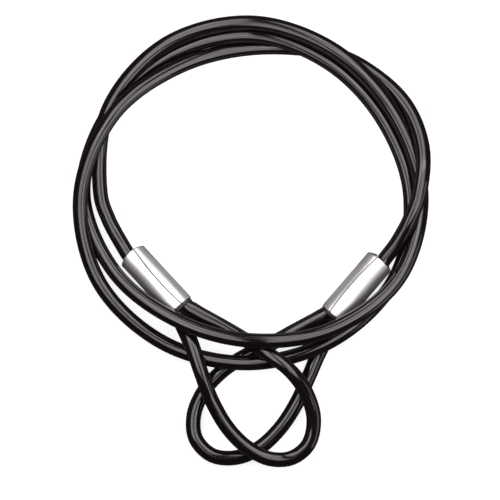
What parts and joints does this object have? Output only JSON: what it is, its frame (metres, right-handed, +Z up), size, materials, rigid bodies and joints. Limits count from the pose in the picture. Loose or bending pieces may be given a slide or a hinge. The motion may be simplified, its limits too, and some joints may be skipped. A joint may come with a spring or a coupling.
{
  "type": "cable lock",
  "caption": "Loosely coiled security cable in a glossy black jacket, with a crimped eye and a bright pressed ferrule at each end.",
  "frame": {"origin": "on the surface that the cable lies on, under the middle of the whole coil with its two eyes", "axes": "+Z up out of the coil, +Y from the eyes towards the far side of the coil, +X to the right seen from above"},
  "size_m": [0.1959, 0.2477, 0.0298],
  "materials": {
    "vinyl_jacket": "smooth glossy black vinyl",
    "steel_strand": "bright galvanised wire",
    "ferrule_aluminium": "satin, pressed, with fine lengthwise die marks"
  },
  "bodies": {
    "root": {"jacket": "vinyl_jacket", "core_strand": "steel_strand", "outer_strand_1": "steel_strand", "outer_strand_2": "steel_strand", "outer_strand_3": "steel_strand", "outer_strand_4": "steel_strand", "outer_strand_5": "steel_strand", "outer_strand_6": "steel_strand", "ferrule_left": "ferrule_aluminium", "ferrule_right": "ferrule_aluminium"}
  },
  "joints": []
}
